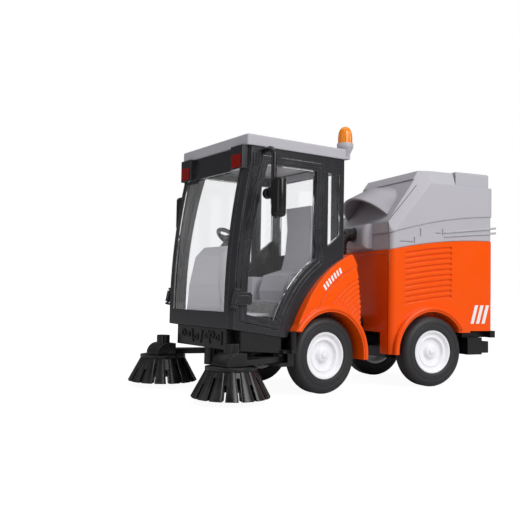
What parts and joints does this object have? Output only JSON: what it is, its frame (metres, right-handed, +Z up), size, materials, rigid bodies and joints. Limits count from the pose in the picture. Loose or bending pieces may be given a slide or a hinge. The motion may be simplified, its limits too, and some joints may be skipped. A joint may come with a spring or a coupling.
{
  "type": "toy articulated street sweeper",
  "caption": "Toy compact street sweeper: glazed cab module hinged to an orange and grey hopper module, two spinning brushes on swinging arms, opening doors.",
  "frame": {"origin": "middle of the footprint on the floor", "axes": "+X forward along the rear module, +Y its left side, +Z up"},
  "size_m": [0.32, 0.1638, 0.217],
  "materials": {
    "orange_plastic": "gloss",
    "black_plastic": "satin",
    "grey_plastic": "satin",
    "dark_grey_plastic": "satin",
    "white_plastic": "gloss",
    "clear_plastic": "gloss",
    "red_lens": "gloss",
    "amber_lens": "gloss",
    "soft_tyre": "matte",
    "steel": "satin",
    "black_rubber": "matte"
  },
  "bodies": {
    "rear_body": {"lower_body": "orange_plastic", "rear_axle": "steel", "rear_bumper": "black_plastic", "rear_chassis": "black_plastic", "suction_hose": "black_rubber"},
    "front_body": {"arm_mounts": "black_plastic", "beacon_base": "grey_plastic", "beacon_dome": "amber_lens", "cab_frame": "black_plastic", "cab_underside": "black_plastic", "dashboard": "dark_grey_plastic", "fender_left": "orange_plastic", "fender_right": "orange_plastic", "front_axle": "steel", "front_chassis": "black_plastic", "front_lamps": "red_lens", "lamp_housings": "black_plastic", "mirror_left": "black_plastic", "mirror_right": "black_plastic", "quarter_panes": "clear_plastic", "rear_pane": "clear_plastic", "roof": "grey_plastic", "seat": "dark_grey_plastic", "steering_wheel": "black_plastic", "windscreen": "clear_plastic"},
    "wheel_front_left": {"tyre_front_left": "soft_tyre", "rim_front_left": "white_plastic"},
    "wheel_rear_left": {"tyre_rear_left": "soft_tyre", "rim_rear_left": "white_plastic"},
    "arm_body_left": {"brush_arm_left": "black_plastic"},
    "brush_body_left": {"brush_left": "black_plastic"},
    "door_body_left": {"door_left": "black_plastic", "door_pane_left": "clear_plastic"},
    "wheel_front_right": {"tyre_front_right": "soft_tyre", "rim_front_right": "white_plastic"},
    "wheel_rear_right": {"tyre_rear_right": "soft_tyre", "rim_rear_right": "white_plastic"},
    "arm_body_right": {"brush_arm_right": "black_plastic"},
    "brush_body_right": {"brush_right": "black_plastic"},
    "door_body_right": {"door_right": "black_plastic", "door_pane_right": "clear_plastic"},
    "hopper_body": {"hopper": "grey_plastic", "hopper_lid": "grey_plastic", "hose_socket": "grey_plastic", "intake_cowl": "grey_plastic"}
  },
  "joints": [
    {"name": "steer", "type": "hinge", "parent": "rear_body", "child": "front_body", "pos_m": [-0.03655, -0.02844, 0.039], "axis": [0, 0, 1], "range_deg": [-42.5, 21.5]},
    {"name": "hopper_tip", "type": "hinge", "parent": "rear_body", "child": "hopper_body", "pos_m": [-0.15815, -0.02844, 0.1296], "axis": [0, -1, 0], "range_deg": [0, 50]},
    {"name": "spin_front_left", "type": "hinge", "parent": "front_body", "child": "wheel_front_left", "pos_m": [0.02716, 0.02837, 0.03], "axis": [-0.1822, 0.9833, 0], "continuous": true},
    {"name": "spin_rear_left", "type": "hinge", "parent": "rear_body", "child": "wheel_rear_left", "pos_m": [-0.08655, 0.01581, 0.03], "axis": [0, 1, 0], "continuous": true},
    {"name": "arm_swing_left", "type": "hinge", "parent": "front_body", "child": "arm_body_left", "pos_m": [0.06503, 0.03259, 0.029], "axis": [0, 0, 1], "range_deg": [-20, 25]},
    {"name": "brush_spin_left", "type": "hinge", "parent": "arm_body_left", "child": "brush_body_left", "pos_m": [0.11244, 0.05389, 0.025], "axis": [0, 0, 1], "continuous": true},
    {"name": "door_open_left", "type": "hinge", "parent": "front_body", "child": "door_body_left", "pos_m": [0.10937, 0.05128, 0.074], "axis": [0.2191, 0.0406, -0.9749], "range_deg": [0, 55]},
    {"name": "spin_front_right", "type": "hinge", "parent": "front_body", "child": "wheel_front_right", "pos_m": [0.04329, -0.05865, 0.03], "axis": [-0.1822, 0.9833, 0], "continuous": true},
    {"name": "spin_rear_right", "type": "hinge", "parent": "rear_body", "child": "wheel_rear_right", "pos_m": [-0.08655, -0.07269, 0.03], "axis": [0, 1, 0], "continuous": true},
    {"name": "arm_swing_right", "type": "hinge", "parent": "front_body", "child": "arm_body_right", "pos_m": [0.08015, -0.04902, 0.029], "axis": [0, 0, -1], "range_deg": [-20, 25]},
    {"name": "brush_spin_right", "type": "hinge", "parent": "arm_body_right", "child": "brush_body_right", "pos_m": [0.13205, -0.05191, 0.025], "axis": [0, 0, 1], "continuous": true},
    {"name": "door_open_right", "type": "hinge", "parent": "front_body", "child": "door_body_right", "pos_m": [0.12824, -0.05058, 0.074], "axis": [-0.2191, -0.0406, 0.9749], "range_deg": [0, 55]}
  ]
}
